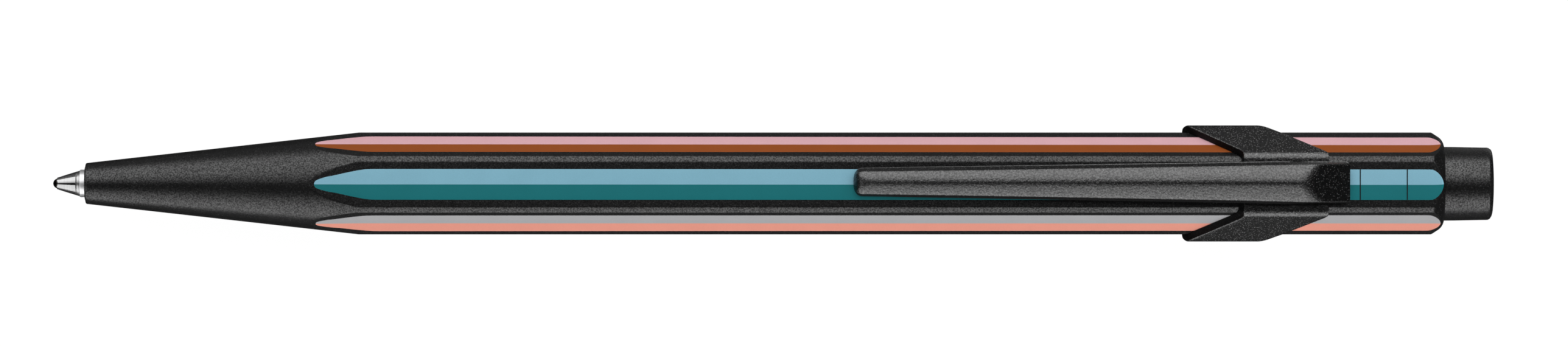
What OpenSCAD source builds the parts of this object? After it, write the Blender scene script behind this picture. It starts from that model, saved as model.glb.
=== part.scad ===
// Hexagonal click ballpoint pen, built as its separate pieces.
// Pen coordinates: X runs along the axis from the front face of the nose (X = 0)
// to the button, +Z points to the clip side, Y is across. The last step shifts
// everything so that the origin is under the middle of the pen, on the flat that it lies on.

/* [Barrel] */
// Distance across two opposite flats of the hexagon
across_flats = 8.0; // [7.9:0.05:8.1]
// Diameter across two opposite rounded corners
across_corners = 8.906; // [8.8:0.01:9.0]
// Length of the barrel from the nose's front face to its rear face
barrel_len = 118.9; // [118.5:0.1:119.5]
// Radius of the nose's front face before its edge is rounded
nose_r = 1.79; // [1.75:0.01:1.85]
// Growth of the nose cone's radius per millimetre of length
nose_taper = 0.1119; // [0.111:0.0005:0.114]
// Radius of the bore that guides the refill's neck
nose_bore_r = 1.27; // [1.26:0.01:1.3]
// Radius of the spring chamber
chamber_r = 2.15; // [2.1:0.01:2.2]
// Radius of the main bore around the refill
main_bore_r = 2.95; // [2.85:0.01:3.0]
// Radius of the rear counterbore in which the button runs
rear_bore_r = 3.30; // [3.29:0.01:3.31]

/* [Clip] */
// Thickness of the clip's sheet
clip_sheet = 0.50; // [0.4:0.05:0.55]
// Gap between the collar and the barrel's flats
clip_gap = 0.10; // [0.05:0.01:0.12]
// Front end of the arm
arm_tip_x = 67.4; // [66:0.1:69]
// Width of the arm near its front end
arm_front_w = 2.48; // [2.2:0.02:2.6]
// Width of the arm at its rear end
arm_rear_w = 3.64; // [3.4:0.02:3.7]
// Height of the arm's top above the front flat, at its rear end
arm_height = 3.50; // [3.3:0.05:3.7]
// Sideways offset of the arm from the middle of the front flat
arm_shift = 0.20; // [0:0.05:0.25]

/* [Button and click mechanism] */
// Diameter of the push button
button_d = 6.43; // [6.41:0.01:6.45]
// How far the button stands out of the barrel while the tip is out
button_out = 4.30; // [4.1:0.1:4.5]
// Number of lugs, ribs and slots in the click mechanism
lugs = 4; // [3:1:4]
// Pitch of the collar's thread
thread_pitch = 0.5; // [0.4:0.1:0.5]

/* [Refill] */
// Radius of the writing ball
ball_r = 0.44; // [0.4:0.01:0.46]
// How far the ball reaches in front of the nose
tip_out = 2.86; // [2.6:0.02:3.0]
// Radius of the refill's neck
neck_r = 1.21; // [1.18:0.01:1.21]
// Radius of the refill's wide body
refill_r = 2.60; // [2.4:0.05:2.7]

/* [Return spring] */
// Radius of the spring's wire
wire_r = 0.20; // [0.15:0.01:0.2]
// Mean radius of the spring's coils
coil_r = 1.75; // [1.7:0.01:1.75]
// Number of coils
coils = 9; // [7:1:10]

/* [Hidden] */

FINE = 96;
apo = across_flats / 2;
cor = across_corners / 2;
button_end = barrel_len + button_out;
mid_x = (button_end - tip_out) / 2;

clip_in = apo + clip_gap;
clip_out = clip_in + clip_sheet;
clip_cor_in = cor + clip_gap;
clip_cor_out = cor + clip_gap + clip_sheet + 0.037;

// X of the points of the clip: band on the front face, then the wing that sweeps forward
band_x0 = 101.2;
band_x1 = 108.6;
wing_x0 = 96.2;
wing_x1 = 102.8;
face_half = apo * tan(30);
bend_x = 110.5;
arm_top_x = 106.6;
arm_top_z = apo + arm_height;
arm_tip_top = apo + 1.03;

// Positions along the axis of the pieces inside
seat_x = 8.0;
shoulder_x = 17.0;
thread_x0 = 100.4;
step_x = 106.1;
rib_x0 = 101.2;
lip_x = 112.3;
plug_end = 95.65;
plunger_x = 104.4;

// Carries pen coordinates to the frame of the part
module placed() {
    translate([-mid_x, 0, apo]) children();
}

// A turned shape about the pen's axis; the points are [radius, X]
module lathe(points, sides = FINE) {
    rotate([0, 90, 0]) rotate_extrude($fn = sides) polygon(points);
}

// A rod along the axis
module rod(r, x0, x1, sides = FINE) {
    translate([x0, 0, 0]) rotate([0, 90, 0]) cylinder(r = r, h = x1 - x0, $fn = sides);
}

// A tube along the axis
module tube(r_out, r_in, x0, x1) {
    difference() {
        rod(r_out, x0, x1);
        rod(r_in, x0 - 1, x1 + 1);
    }
}

// A hexagonal prism along the axis, with flats towards +Z and -Z
module hex_rod(apothem, x0, x1) {
    translate([x0, 0, 0]) rotate([0, 90, 0]) rotate([0, 0, 30])
        linear_extrude(height = x1 - x0) circle(r = apothem / cos(30), $fn = 6);
}

// A hexagonal prism with round corners
module round_hex(apothem, corner_r, x0, x1) {
    intersection() {
        hex_rod(apothem, x0, x1);
        rod(corner_r, x0 - 1, x1 + 1);
    }
}

// The outline of a thread's grooves: [radius, X] points from x0 on
function thread(x0, count, pitch, r_crest, r_root) =
    [for (i = [0 : count - 1]) each [[r_crest, x0 + i * pitch], [r_root, x0 + (i + 0.5) * pitch]]];

// One flat bar along the axis, at an angle about it, from radius r0 to r1
module key(angle, r0, r1, w, x0, x1) {
    rotate([angle, 0, 0]) translate([x0, -w / 2, r0]) cube([x1 - x0, w, r1 - r0]);
}

// V-shaped notches across an end face, which leave a crown of teeth
module crown_cut(x, depth, count, reach) {
    for (i = [0 : count - 1])
        rotate([i * 180 / count, 0, 0])
            translate([0, reach, 0]) rotate([90, 0, 0])
                linear_extrude(height = 2 * reach)
                    polygon([[x - 0.01, -depth * 0.6], [x + depth, 0], [x - 0.01, depth * 0.6]]);
}

// Barrel: hexagon with round corners, nose cone, turned rear bevel, stepped bore with a thread
module barrel() {
    full_x = (cor - nose_r) / nose_taper;
    thread_n = floor((step_x - 0.6 - thread_x0) / thread_pitch);
    color([0.07, 0.07, 0.08]) placed() difference() {
        intersection() {
            lathe([
                [0, 0], [nose_r - 0.09, 0], [nose_r - 0.03, 0.03], [nose_r + 0.011, 0.10],
                [cor, full_x],
                [cor, barrel_len - 1.0], [cor - 0.10, barrel_len - 0.83], [cor - 0.253, barrel_len - 0.62],
                [cor - 0.453, barrel_len - 0.33], [cor - 0.723, barrel_len - 0.10], [cor - 0.95, barrel_len],
                [0, barrel_len]
            ]);
            hex_rod(apo, -1, barrel_len + 1);
        }
        lathe(concat(
            [[0, -1], [nose_bore_r + 0.10, -1], [nose_bore_r + 0.10, 0], [nose_bore_r, 0.12],
             [nose_bore_r, seat_x], [chamber_r, seat_x], [chamber_r, 15.5], [main_bore_r, 16.5],
             [main_bore_r, 100], [3.06, 100]],
            thread(thread_x0, thread_n, thread_pitch, 3.06, 3.20),
            [[3.06, thread_x0 + thread_n * thread_pitch], [3.06, step_x], [rear_bore_r, step_x],
             [rear_bore_r, barrel_len + 1], [0, barrel_len + 1]]
        ));
    }
}

// The part of the clip's sheet over one face of the hexagon; the points are [X, distance across the face]
module over_face(angle, points) {
    rotate([angle, 0, 0]) translate([0, 0, 2]) linear_extrude(height = 4.5) polygon(points);
}

// Clip collar: band over the clip-side face, two wings that sweep forward and end in claws,
// and the tongue that runs back under the arm to the bend
module clip_collar() {
    t = face_half;
    color([0.08, 0.08, 0.09]) placed() {
        intersection() {
            difference() {
                round_hex(clip_out, clip_cor_out, 93, 112);
                round_hex(clip_in, clip_cor_in, 92, 113);
            }
            union() {
                over_face(0, [[band_x0, -2.7], [band_x1, -2.7], [band_x1, 2.7], [band_x0, 2.7]]);
                for (side = [0, 1]) mirror([0, side, 0]) {
                    over_face(60, [
                        [band_x0, 2.7], [band_x0, t - 0.22], [wing_x0 + 0.30, -t + 0.10], [wing_x0 + 0.06, -t - 0.12],
                        [wing_x0, -2.55], [wing_x0, -2.7], [wing_x1, -2.7], [wing_x1 + 0.45, -t + 0.15],
                        [band_x1 - 0.25, t - 0.28], [band_x1, t - 0.12], [band_x1, 2.7]
                    ]);
                    over_face(120, [
                        [wing_x0, 2.7], [wing_x0, 1.0], [wing_x0 + 0.12, 0.4], [wing_x0 + 0.4, -0.25],
                        [wing_x0 + 1.2, -1.15], [wing_x0 + 2.1, -1.62], [wing_x0 + 3.0, -1.8], [wing_x0 + 3.7, -1.8],
                        [wing_x0 + 4.3, -1.5], [101.2, -0.45], [101.6, 0.7], [wing_x1 - 0.4, 2.0],
                        [wing_x1, 2.7]
                    ]);
                }
            }
        }
        // tongue and its bend
        translate([0, 1.55, 0]) rotate([90, 0, 0]) linear_extrude(height = 3.1) polygon([
            [band_x1 - 0.5, clip_in], [bend_x - 0.5, clip_in], [bend_x - 0.15, clip_in + 0.10],
            [bend_x, clip_in + 0.35], [bend_x, clip_out + 0.20], [bend_x - 0.45, clip_out + 0.20],
            [bend_x - 0.55, clip_out], [band_x1 - 0.5, clip_out]
        ]);
    }
}

// Plan of the arm, drawn inwards by d: a long taper with a round front end
function arm_plan(d) = let (
    f = arm_front_w / 2 - d, r = arm_rear_w / 2 - d,
    e = 0.60 - d / 2, cx = arm_tip_x + 0.60 + d / 2
) concat(
    [[bend_x - d * 0.8, -r + 0.45], [bend_x - d * 0.8, r - 0.45], [bend_x - 0.6, r - 0.12], [arm_top_x + 1, r]],
    [for (a = [90 : 10 : 270]) [cx + e * cos(a), f * sin(a)]],
    [[arm_top_x + 1, -r], [bend_x - 0.6, -r + 0.12]]
);

// Height of the arm's ridge along its flat run
function ridge(x) = arm_tip_top + (arm_top_z - arm_tip_top) * (x - arm_tip_x - 0.7) / (arm_top_x - arm_tip_x - 0.7);

// Side profile of the arm's outer shape: rounded tip, flat run, slope down to the bend
module arm_side() {
    translate([0, 3, 0]) rotate([90, 0, 0]) linear_extrude(height = 6) polygon([
        [arm_tip_x - 0.02, apo + 0.03], [arm_tip_x - 0.02, arm_tip_top - 0.62], [arm_tip_x + 0.08, arm_tip_top - 0.33],
        [arm_tip_x + 0.33, arm_tip_top - 0.11], [arm_tip_x + 0.70, arm_tip_top],
        [arm_top_x - 0.5, ridge(arm_top_x - 0.5)], [arm_top_x + 0.1, arm_top_z - 0.04], [arm_top_x + 0.6, arm_top_z - 0.36],
        [bend_x - 0.35, clip_out + 0.62], [bend_x, clip_out + 0.40], [bend_x, clip_out + 0.26],
        [bend_x - 0.6, clip_out + 0.26], [bend_x - 0.7, clip_out + 0.12],
        [arm_top_x + 1.0, clip_out + 0.12], [arm_top_x - 0.2, clip_out + 0.50], [arm_top_x - 1.8, ridge(arm_top_x - 1.8) - 1.36],
        [71, ridge(71) - 0.96], [70.2, apo + 0.08], [69.5, apo + 0.03]
    ]);
}

// Inside of the arm: everything under its sheet
module arm_hollow() {
    translate([0, 3, 0]) rotate([90, 0, 0]) linear_extrude(height = 6) polygon([
        [arm_tip_x + 1.8, apo - 1], [arm_tip_x + 1.8, ridge(arm_tip_x + 1.8) - 0.55], [arm_tip_x + 2.6, ridge(arm_tip_x + 2.6) - clip_sheet],
        [arm_top_x - 0.3, ridge(arm_top_x - 0.3) - clip_sheet], [arm_top_x + 0.4, arm_top_z - 0.75],
        [bend_x - 0.85, clip_out + 0.55], [bend_x - 0.85, apo - 1]
    ]);
}

// The arm's crowned top: a cone whose axis runs under the arm, drawn inwards by d
module arm_crown(d) {
    x0 = arm_tip_x - 1;
    x1 = bend_x + 1;
    r0 = 1.42;
    r1 = 2.12;
    z0 = ridge(x0) - r0;
    z1 = ridge(x1) - r1;
    tilt = atan((z1 - z0) / (x1 - x0));
    translate([x0, 0, z0]) rotate([0, 90 - tilt, 0])
        cylinder(r1 = r0 - d, r2 = r1 - d, h = (x1 - x0) / cos(tilt), $fn = FINE);
}

// Clip arm: the long sprung channel
module clip_arm() {
    color([0.09, 0.09, 0.10]) placed() translate([0, arm_shift, 0]) difference() {
        intersection() {
            arm_side();
            linear_extrude(height = 12) polygon(arm_plan(0));
            arm_crown(0);
        }
        intersection() {
            arm_hollow();
            linear_extrude(height = 12) polygon(arm_plan(clip_sheet));
            arm_crown(clip_sheet);
        }
    }
}

// Threaded collar: screws the click mechanism into the barrel
module threaded_collar() {
    thread_n = floor((step_x - 0.9 - thread_x0) / thread_pitch);
    color([0.76, 0.66, 0.42]) placed() lathe(concat(
        [[2.46, 100.05], [2.80, 100.05], [3.00, 100.25]],
        thread(thread_x0 + 0.05, thread_n, thread_pitch, 3.00, 2.86),
        [[3.00, thread_x0 + 0.05 + thread_n * thread_pitch], [2.80, 105.6], [2.80, step_x + 0.05],
         [3.22, step_x + 0.05], [3.24, step_x + 0.12], [3.24, 107.15], [3.18, 107.25],
         [2.90, 107.25], [2.90, 110.30], [2.80, 110.40], [2.46, 110.40]]
    ));
}

// Cam sleeve: guides the plunger's keys, and its ribs hold the rotor's lugs while the tip is out
module cam_sleeve() {
    color([0.78, 0.79, 0.80]) placed() {
        difference() {
            lathe([[2.05, 99.5], [2.35, 99.5], [2.45, 99.6], [2.45, 113.25], [2.35, 113.35], [1.75, 113.35],
                   [1.75, lip_x], [2.05, lip_x]]);
            tube(2.60, 2.40, 110.42, 110.74);
        }
        intersection() {
            for (i = [0 : lugs - 1]) key(i * 360 / lugs, 1.2, 2.25, 1.20, rib_x0, lip_x + 0.2);
            tube(2.25, 1.75, rib_x0 - 1, lip_x + 1);
        }
    }
}

// Snap ring: sits in the sleeve's groove behind the threaded collar
module sleeve_snap_ring() {
    color([0.62, 0.62, 0.64]) placed() difference() {
        tube(2.84, 2.41, 110.44, 110.72);
        translate([110, -0.5, -4]) cube([1.5, 1.0, 3]);
    }
}

// Push button: a cup that runs in the barrel's rear bore, with a boss for the plunger
module push_button() {
    r = button_d / 2;
    edge = 0.5;
    taper = 0.04;
    color([0.08, 0.08, 0.09]) placed() lathe(concat(
        [[2.65, 112.0], [r - 0.10, 112.0], [r, 112.12], [r, barrel_len]],
        [for (a = [0 : 10 : 80]) [r - taper - edge + edge * cos(a), button_end - 0.06 - edge + edge * sin(a)]],
        [[r - taper - edge, button_end - 0.06], [1.4, button_end - 0.015], [0, button_end],
         [0, 122.05], [1.50, 122.05], [1.50, 119.90], [2.00, 119.90], [2.00, 121.30], [2.65, 121.30]]
    ));
}

// Plunger: carries the button's push to the rotor through a crown of teeth
module button_plunger() {
    color([0.86, 0.86, 0.84]) placed() difference() {
        union() {
            lathe([[0, plunger_x], [1.60, plunger_x], [1.60, 119.90], [1.48, 119.90], [1.48, 121.95], [1.38, 122.05], [0, 122.05]]);
            intersection() {
                for (i = [0 : lugs - 1]) key((i + 0.5) * 360 / lugs, 0.5, 2.5, 0.90, plunger_x, plunger_x + 3.8);
                rod(1.98, plunger_x - 1, plunger_x + 5);
            }
        }
        rod(0.90, plunger_x - 1, plunger_x + 4.6);
        crown_cut(plunger_x, 0.55, lugs, 3);
    }
}

// Cam rotor: turns by one half step at every click, and its lugs latch on the sleeve's ribs
module cam_rotor() {
    color([0.86, 0.86, 0.84]) placed() {
        difference() {
            lathe([[0, plug_end + 0.05], [1.85, plug_end + 0.05], [1.95, plug_end + 0.15], [1.95, plug_end + 1.1],
                   [1.85, plug_end + 1.2], [1.15, plug_end + 1.2], [1.15, 98.6], [1.45, 98.9], [1.45, plunger_x - 0.10],
                   [0, plunger_x - 0.10]]);
            translate([2 * (plunger_x - 0.10), 0, 0]) mirror([1, 0, 0]) crown_cut(plunger_x - 0.10, 0.55, lugs, 3);
        }
        rod(0.85, plunger_x - 1.2, plunger_x + 4.2);
        intersection() {
            for (i = [0 : lugs - 1]) key(i * 360 / lugs, 0.5, 2.2, 0.95, 99.0, rib_x0 - 0.08);
            lathe([[0, 98.9], [1.40, 98.9], [1.69, 99.25], [1.69, rib_x0 - 0.5], [1.69, rib_x0], [0, rib_x0]]);
        }
    }
}

// Points of one ring of the wire, around the coil's centre line
function wire_ring(a, x, sides) = [for (k = [0 : sides - 1])
    let (w = 360 * k / sides, r = coil_r + wire_r * cos(w))
    [x + wire_r * sin(w), r * sin(a), r * cos(a)]];

// Return spring: a coil with closed ends between the nose's seat and the refill's shoulder
module return_spring() {
    per = 14;
    sides = 8;
    n = coils * per;
    a0 = seat_x + 0.03 + wire_r;
    a1 = shoulder_x - 0.03 - wire_r;
    closed = 1.0;
    span = a1 - a0 - 2 * closed * 2.1 * wire_r;
    function place(s) = s < closed ? a0 + s * 2.1 * wire_r
        : s > coils - closed ? a1 - (coils - s) * 2.1 * wire_r
        : a0 + closed * 2.1 * wire_r + span * (s - closed) / (coils - 2 * closed);
    rings = [for (i = [0 : n]) wire_ring(360 * i / per, place(i / per), sides)];
    color([0.72, 0.73, 0.75]) placed() polyhedron(
        points = [for (ring = rings) each ring],
        faces = concat(
            [[for (k = [0 : sides - 1]) k]],
            [for (i = [0 : n - 1]) for (k = [0 : sides - 1])
                [i * sides + k, (i + 1) * sides + k, (i + 1) * sides + (k + 1) % sides, i * sides + (k + 1) % sides]],
            [[for (k = [sides - 1 : -1 : 0]) n * sides + k]]
        ),
        convexity = 10
    );
}

// Writing ball, free to roll in its socket
module tip_ball() {
    color([0.16, 0.16, 0.18]) placed() translate([-tip_out + ball_r, 0, 0]) sphere(r = ball_r, $fn = 48);
}

// Tip cone: holds the ball in a socket and carries ink to it
module tip_cone() {
    bx = -tip_out + ball_r;
    color([0.80, 0.80, 0.80]) placed() difference() {
        lathe([[0, bx - 0.10], [ball_r + 0.06, bx - 0.10], [ball_r + 0.10, bx + 0.05],
               [neck_r - 0.12, -0.53], [0.74, -0.53], [0.74, 2.6], [0, 2.6]]);
        translate([bx, 0, 0]) sphere(r = ball_r + 0.02, $fn = 48);
        rod(ball_r - 0.03, bx - 1, bx - 0.05);
        rod(0.22, bx, 3);
    }
}

// Refill neck: the thin tube that the nose guides
module refill_neck() {
    color([0.80, 0.80, 0.80]) placed()
        lathe([[0.76, -0.52], [neck_r - 0.11, -0.52], [neck_r, -0.42], [neck_r, shoulder_x + 2.4], [0.76, shoulder_x + 2.4]]);
}

// Refill tube: the wide ink tube with the shoulder that the spring presses on
module refill_tube() {
    color([0.75, 0.76, 0.78]) placed()
        lathe([[neck_r + 0.01, shoulder_x], [2.00, shoulder_x], [refill_r, shoulder_x + 1.0], [refill_r, 94.0],
               [refill_r - 0.38, 94.0], [refill_r - 0.38, shoulder_x + 2.6], [neck_r + 0.01, shoulder_x + 2.4]]);
}

// Ink: a column in the tube and a thin thread of it in the neck
module ink_column() {
    color([0.06, 0.08, 0.30]) placed()
        lathe([[0, 2.65], [0.72, 2.65], [0.72, shoulder_x + 2.3], [0.9, shoulder_x + 2.7], [refill_r - 0.42, shoulder_x + 2.75],
               [refill_r - 0.42, 88], [0, 88]]);
}

// End plug: closes the refill's rear end, with a vent
module refill_end_plug() {
    color([0.20, 0.22, 0.45]) placed()
        lathe([[0.3, 92.0], [refill_r - 0.40, 92.0], [refill_r - 0.40, 94.01], [refill_r, 94.01], [refill_r, 95.0],
               [1.9, 95.1], [1.8, plug_end], [0.3, plug_end]]);
}

barrel();
clip_collar();
clip_arm();
threaded_collar();
cam_sleeve();
sleeve_snap_ring();
push_button();
button_plunger();
cam_rotor();
return_spring();
tip_ball();
tip_cone();
refill_neck();
refill_tube();
ink_column();
refill_end_plug();
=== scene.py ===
import math
import bpy
import bmesh
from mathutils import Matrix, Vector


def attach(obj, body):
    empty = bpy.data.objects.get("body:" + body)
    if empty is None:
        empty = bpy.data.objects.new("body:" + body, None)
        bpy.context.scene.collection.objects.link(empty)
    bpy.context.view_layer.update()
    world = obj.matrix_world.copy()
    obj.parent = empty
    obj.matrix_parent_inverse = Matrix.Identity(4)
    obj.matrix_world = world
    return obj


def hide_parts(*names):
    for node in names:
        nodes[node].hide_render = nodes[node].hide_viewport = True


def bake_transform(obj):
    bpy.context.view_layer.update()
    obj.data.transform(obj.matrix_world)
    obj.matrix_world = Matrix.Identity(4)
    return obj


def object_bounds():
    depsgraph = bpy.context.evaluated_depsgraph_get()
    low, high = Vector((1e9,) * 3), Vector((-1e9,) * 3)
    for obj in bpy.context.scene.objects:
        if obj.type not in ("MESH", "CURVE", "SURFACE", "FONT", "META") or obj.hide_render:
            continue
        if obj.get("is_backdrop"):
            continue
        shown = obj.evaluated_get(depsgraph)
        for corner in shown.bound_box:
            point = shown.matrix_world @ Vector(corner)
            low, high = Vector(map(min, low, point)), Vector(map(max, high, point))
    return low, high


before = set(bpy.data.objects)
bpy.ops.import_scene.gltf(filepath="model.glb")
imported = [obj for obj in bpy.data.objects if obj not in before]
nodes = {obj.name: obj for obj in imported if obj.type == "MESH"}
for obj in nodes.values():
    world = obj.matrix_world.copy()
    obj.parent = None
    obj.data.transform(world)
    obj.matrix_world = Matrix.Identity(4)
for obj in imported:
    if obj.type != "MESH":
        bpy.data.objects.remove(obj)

cad_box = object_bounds()
scene = bpy.context.scene

# ---------------------------------------------------------------- frame of the pen
# Pen coordinates in millimetres: X = 0 at the nose's front face, the axis at Y = Z = 0, the clip on +Z.
MM = 0.001
MID_X = 60.17
APO = 4.0          # half the distance across flats
COR = 4.468        # radius of the turned corners
NOSE_R = 1.79
TAPER = 0.1119
BARREL_LEN = 118.9


def P(x, y, z):
    """Pen millimetres to the row frame in metres."""
    return ((x - MID_X) * MM, y * MM, (z + APO) * MM)


def around(x, r, deg):
    """A point at radius r, deg degrees round from +Z towards +Y."""
    a = math.radians(deg)
    return P(x, r * math.sin(a), r * math.cos(a))


def on_flat(x, t, h, deg):
    """A point over the flat whose middle is at deg: t across it, h out from the axis."""
    a = math.radians(deg)
    return P(x, h * math.sin(a) + t * math.cos(a), h * math.cos(a) - t * math.sin(a))


def mix(a, b, t):
    return a + (b - a) * t


def clamp(v, lo=0.0, hi=1.0):
    return max(lo, min(hi, v))


def table(x, points):
    """Straight-line interpolation in a list of (x, value)."""
    if x <= points[0][0]:
        return points[0][1]
    for (x0, v0), (x1, v1) in zip(points, points[1:]):
        if x <= x1:
            return mix(v0, v1, (x - x0) / (x1 - x0)) if x1 > x0 else v1
    return points[-1][1]


def smin(a, b, k):
    h = max(k - abs(a - b), 0.0)
    return min(a, b) - h * h / (4 * k)


def spans(a, b, n):
    return [a + (b - a) * i / n for i in range(n + 1)]


# ---------------------------------------------------------------- mesh helpers
def build(name, verts, faces, mats, body, replaces=(), sharp=32.0, face_mats=None, recalc=True):
    mesh = bpy.data.meshes.new(name)
    mesh.from_pydata([tuple(v) for v in verts], [], faces)
    mesh.validate(clean_customdata=False)
    if recalc:
        bm = bmesh.new()
        bm.from_mesh(mesh)
        bmesh.ops.recalc_face_normals(bm, faces=bm.faces)
        bm.to_mesh(mesh)
        bm.free()
    for m in mats:
        mesh.materials.append(m)
    if face_mats is not None:
        for poly, m in zip(mesh.polygons, face_mats):
            poly.material_index = m
    mesh.polygons.foreach_set("use_smooth", [True] * len(mesh.polygons))
    mesh.set_sharp_from_angle(angle=math.radians(sharp))
    mesh.update()
    obj = bpy.data.objects.new(name, mesh)
    scene.collection.objects.link(obj)
    if body:
        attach(obj, body)
    if replaces:
        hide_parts(*replaces)
    return obj


def loft(rings, closed_rings=True, closed_ends=False, caps=True):
    """Faces between rings of equal size. closed_ends joins the last ring to the first."""
    n = len(rings[0])
    verts = [v for ring in rings for v in ring]
    faces = []
    count = len(rings)
    for i in range(count if closed_ends else count - 1):
        a, b = i * n, ((i + 1) % count) * n
        for j in range(n if closed_rings else n - 1):
            k = (j + 1) % n
            faces.append((a + j, b + j, b + k, a + k))
    if caps and not closed_ends:
        faces.append(tuple(range(n))[::-1])
        faces.append(tuple((count - 1) * n + j for j in range(n)))
    return verts, faces


def lathe(name, profile, mats, body, replaces=(), segs=128, sharp=32.0):
    """A turned piece: profile is a closed outline of (X, r); points on the axis become one vertex."""
    verts, index, faces = [], [], []
    for x, r in profile:
        if r < 1e-6:
            index.append([len(verts)])
            verts.append(P(x, 0, 0))
        else:
            index.append(list(range(len(verts), len(verts) + segs)))
            verts += [around(x, r, 360.0 * j / segs) for j in range(segs)]
    count = len(profile)
    for i in range(count):
        a, b = index[i], index[(i + 1) % count]
        if len(a) == 1 and len(b) == 1:
            continue
        for j in range(segs):
            k = (j + 1) % segs
            if len(a) == 1:
                faces.append((a[0], b[j], b[k]))
            elif len(b) == 1:
                faces.append((a[j], b[0], a[k]))
            else:
                faces.append((a[j], b[j], b[k], a[k]))
    return build(name, verts, faces, mats, body, replaces, sharp)


def arc(cx, cr, r, a0, a1, n):
    """Profile points (X, r) on an arc; angle 0 points along +X, 90 outwards."""
    return [(cx + r * math.cos(math.radians(a)), cr + r * math.sin(math.radians(a))) for a in spans(a0, a1, n)]


# ---------------------------------------------------------------- material helpers
class Nodes:
    def __init__(self, name):
        self.mat = bpy.data.materials.new(name)
        self.mat.use_nodes = True
        self.tree = self.mat.node_tree
        self.tree.nodes.clear()
        self.out = self.add("ShaderNodeOutputMaterial")
        self.bsdf = self.add("ShaderNodeBsdfPrincipled")
        self.link(self.bsdf.outputs["BSDF"], self.out.inputs["Surface"])
        self.coord = self.add("ShaderNodeTexCoord")

    def add(self, kind, **values):
        node = self.tree.nodes.new(kind)
        for k, v in values.items():
            setattr(node, k, v)
        return node

    def link(self, a, b):
        self.tree.links.new(a, b)

    def noise(self, scale, detail=2.0, rough=0.5, stretch=None, distortion=0.0):
        n = self.add("ShaderNodeTexNoise")
        n.inputs["Scale"].default_value = scale
        n.inputs["Detail"].default_value = detail
        n.inputs["Roughness"].default_value = rough
        n.inputs["Distortion"].default_value = distortion
        if stretch:
            m = self.add("ShaderNodeMapping")
            m.inputs["Scale"].default_value = stretch
            self.link(self.coord.outputs["Object"], m.inputs["Vector"])
            self.link(m.outputs["Vector"], n.inputs["Vector"])
        else:
            self.link(self.coord.outputs["Object"], n.inputs["Vector"])
        return n.outputs["Fac"]

    def voronoi(self, scale, feature="F1"):
        n = self.add("ShaderNodeTexVoronoi", feature=feature)
        n.inputs["Scale"].default_value = scale
        self.link(self.coord.outputs["Object"], n.inputs["Vector"])
        return n

    def ramp(self, fac, stops, interpolation="LINEAR"):
        r = self.add("ShaderNodeValToRGB")
        r.color_ramp.interpolation = interpolation
        el = r.color_ramp.elements
        while len(el) > 1:
            el.remove(el[-1])
        el[0].position, el[0].color = stops[0][0], grey(stops[0][1])
        for pos, col in stops[1:]:
            e = el.new(pos)
            e.color = grey(col)
        self.link(fac, r.inputs["Fac"])
        return r.outputs["Color"]

    def maths(self, op, a, b):
        m = self.add("ShaderNodeMath", operation=op)
        for i, v in enumerate((a, b)):
            if isinstance(v, (int, float)):
                m.inputs[i].default_value = v
            else:
                self.link(v, m.inputs[i])
        return m.outputs[0]

    def bump(self, height, distance, strength=1.0, normal=None):
        b = self.add("ShaderNodeBump")
        b.inputs["Strength"].default_value = strength
        b.inputs["Distance"].default_value = distance
        self.link(height, b.inputs["Height"])
        if normal is not None:
            self.link(normal, b.inputs["Normal"])
        return b.outputs["Normal"]


def grey(v):
    if isinstance(v, (int, float)):
        return (v, v, v, 1.0)
    return (v[0], v[1], v[2], 1.0)


def srgb(r, g, b, gain=1.0):
    def lin(c):
        c /= 255.0
        return c / 12.92 if c <= 0.04045 else ((c + 0.055) / 1.055) ** 2.4
    return tuple(lin(c) * gain for c in (r, g, b))


def paint(name, base, rough, ior, grain, grain_height, shine, shine_size, painted_glint, painted_glint_cell, painted_glint_r, seed_shift=0.0):
    """Baked satin powder paint: a pebbled grain that glints where it tips into the light, pale flecks in its colour
    that are painted glints of that grain, and slow changes in gloss. shine is the range of the grains'
    reflection, painted_glint the colour of the painted glints, painted_glint_cell their spacing and painted_glint_r
    their radius in parts of that spacing."""
    n = Nodes(name)
    pebbles = n.noise(1.0 / grain, 3.0, 0.62)
    broad = n.noise(260.0 + seed_shift, 2.0, 0.5)
    # pale flecks in the paint's colour: painted glints of the grain
    painted_glints = n.voronoi(1.0 / painted_glint_cell).outputs["Distance"]
    colour = n.ramp(painted_glints, [(0.0, painted_glint), (0.75 * painted_glint_r, painted_glint), (1.25 * painted_glint_r, base), (1.0, tuple(c * 0.7 for c in base))])
    n.link(colour, n.bsdf.inputs["Base Color"])
    level = n.maths("ADD", n.maths("MULTIPLY", pebbles, 0.12), n.maths("MULTIPLY", broad, 0.06))
    n.link(n.maths("ADD", level, rough - 0.09), n.bsdf.inputs["Roughness"])
    n.link(n.bump(pebbles, grain_height), n.bsdf.inputs["Normal"])
    n.bsdf.inputs["IOR"].default_value = ior
    glints = n.noise(1.0 / shine_size, 2.0, 0.6, stretch=(1.0, 1.0, 1.0))
    n.link(n.ramp(glints, [(0.40, shine[0]), (0.62, shine[1])]), n.bsdf.inputs["Specular Tint"])
    return n.mat


def printed(name, colour, rough=0.42):
    """Pad-printed stripe colour: satin ink with a very fine tooth and a faint mottle."""
    n = Nodes(name)
    fine = n.noise(9000.0, 2.0, 0.6)
    broad = n.noise(420.0, 2.0, 0.5)
    dark = tuple(c * 0.96 for c in colour)
    light = tuple(min(1.0, c * 1.04) for c in colour)
    n.link(n.ramp(n.maths("ADD", n.maths("MULTIPLY", fine, 0.6), n.maths("MULTIPLY", broad, 0.4)),
                  [(0.35, dark), (0.65, light)]), n.bsdf.inputs["Base Color"])
    n.link(n.maths("ADD", n.maths("MULTIPLY", fine, 0.12), rough - 0.06), n.bsdf.inputs["Roughness"])
    n.link(n.bump(fine, 1.2e-6), n.bsdf.inputs["Normal"])
    n.bsdf.inputs["IOR"].default_value = 1.45
    n.bsdf.inputs["Specular IOR Level"].default_value = 0.25
    return n.mat


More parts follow.
